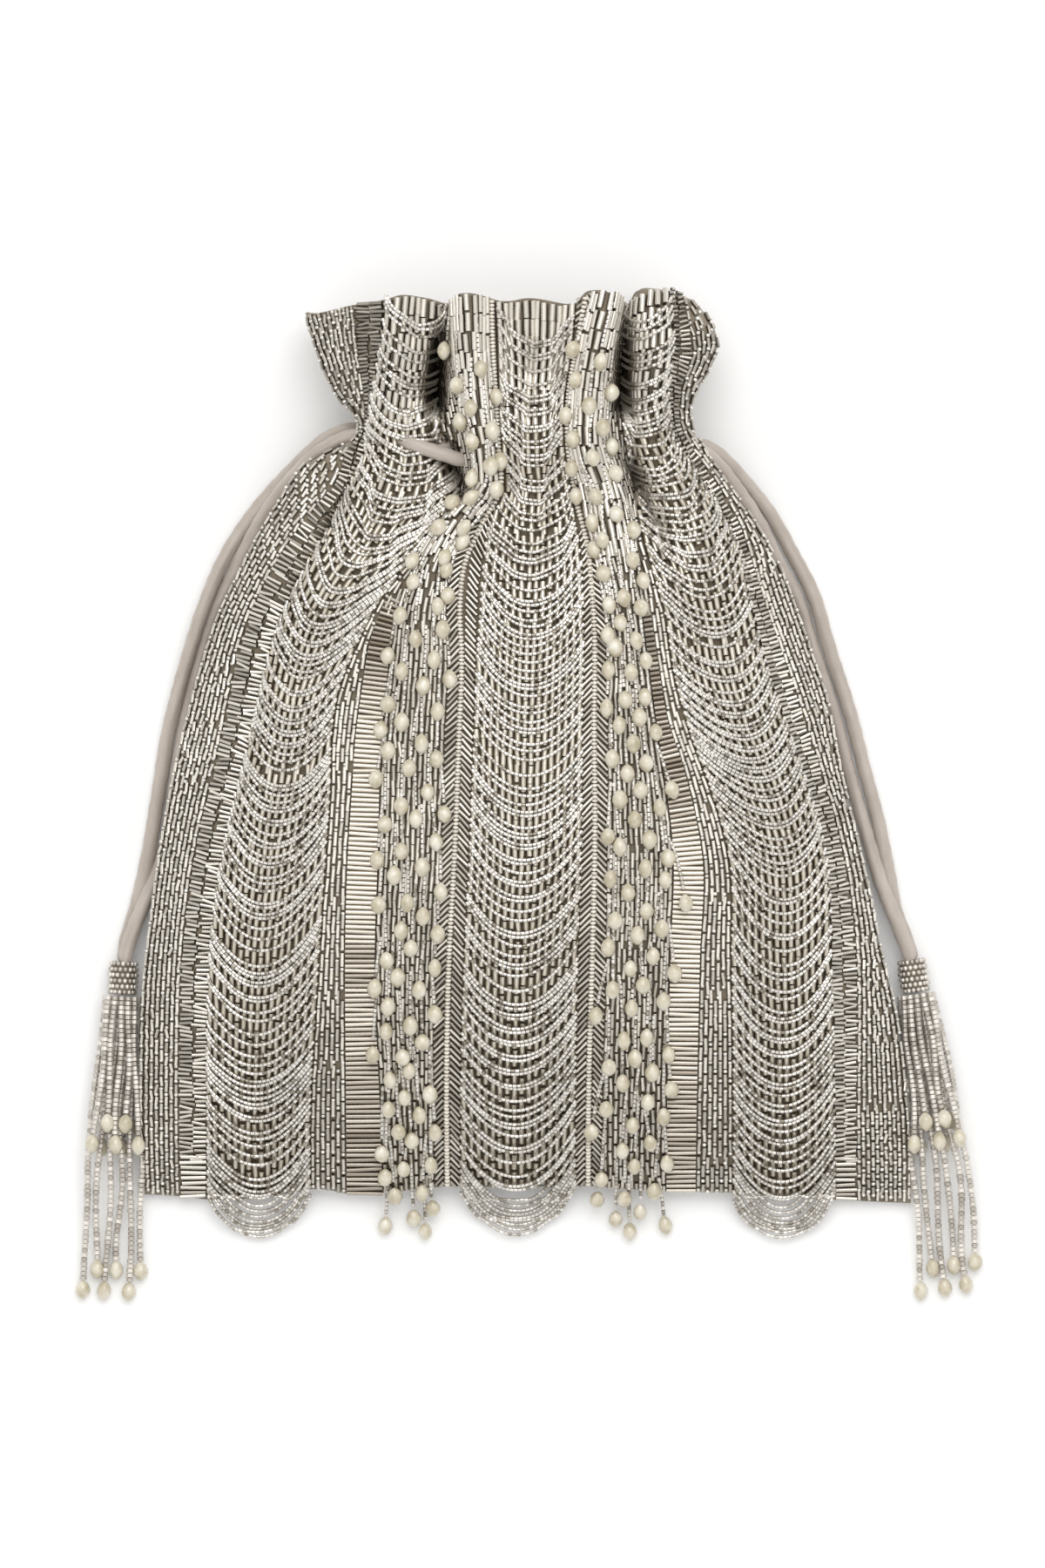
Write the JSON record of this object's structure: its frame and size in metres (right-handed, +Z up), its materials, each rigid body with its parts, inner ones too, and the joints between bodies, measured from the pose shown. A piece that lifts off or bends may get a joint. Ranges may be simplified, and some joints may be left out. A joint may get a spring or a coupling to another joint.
{
  "type": "potli bag",
  "caption": "Gathered drawstring pouch lying on its back, with a beaded front, bead swags, pearl fringes and satin drawstrings ending in bead tassels.",
  "frame": {"origin": "on the surface the bag lies on, below the middle of the bag without its cords and tassels", "axes": "+X to the right across the front, +Y from the hem to the ruffled mouth, +Z up out of the beaded front"},
  "size_m": [0.2393, 0.2667, 0.0433],
  "materials": {
    "bugle_beadwork": "silver-lined clear and pale gold glass bugles sewn on cloth",
    "pouch_cloth": "taupe plain-woven silk blend with a soft sheen",
    "lining_satin": "champagne-taupe lining satin",
    "drawstring_satin": "champagne-taupe satin tube, puckered",
    "seed_beads": "silver-lined clear seed beads",
    "rice_pearls": "cream pearl lustre"
  },
  "bodies": {
    "root": {"front_panel": "bugle_beadwork", "back_panel": "pouch_cloth", "lining": "lining_satin", "swag_strings_left": "seed_beads", "swag_strings_centre": "seed_beads", "swag_strings_right": "seed_beads", "tassel_head_left": "seed_beads", "tassel_head_right": "seed_beads", "tassel_left_outer_1": "seed_beads", "tassel_left_outer_2": "seed_beads", "tassel_left_outer_3": "seed_beads", "tassel_left_outer_4": "seed_beads", "tassel_left_outer_5": "seed_beads", "tassel_left_outer_6": "seed_beads", "tassel_left_outer_7": "seed_beads", "tassel_left_outer_8": "seed_beads", "tassel_left_outer_9": "seed_beads", "tassel_right_outer_1": "seed_beads", "tassel_right_outer_2": "seed_beads", "tassel_right_outer_3": "seed_beads", "tassel_right_outer_4": "seed_beads", "tassel_right_outer_5": "seed_beads", "tassel_right_outer_6": "seed_beads", "tassel_right_outer_7": "seed_beads", "tassel_right_outer_8": "seed_beads", "tassel_right_outer_9": "seed_beads", "tassel_left_inner_1": "seed_beads", "tassel_left_inner_2": "seed_beads", "tassel_left_inner_3": "seed_beads", "tassel_left_inner_4": "seed_beads", "tassel_left_inner_5": "seed_beads", "tassel_left_inner_6": "seed_beads", "tassel_right_inner_1": "seed_beads", "tassel_right_inner_2": "seed_beads", "tassel_right_inner_3": "seed_beads", "tassel_right_inner_4": "seed_beads", "tassel_right_inner_5": "seed_beads", "tassel_right_inner_6": "seed_beads", "pearl_fringe_left": "rice_pearls", "pearl_fringe_right": "rice_pearls", "drawstring_left": "drawstring_satin", "drawstring_right": "drawstring_satin"}
  },
  "joints": []
}
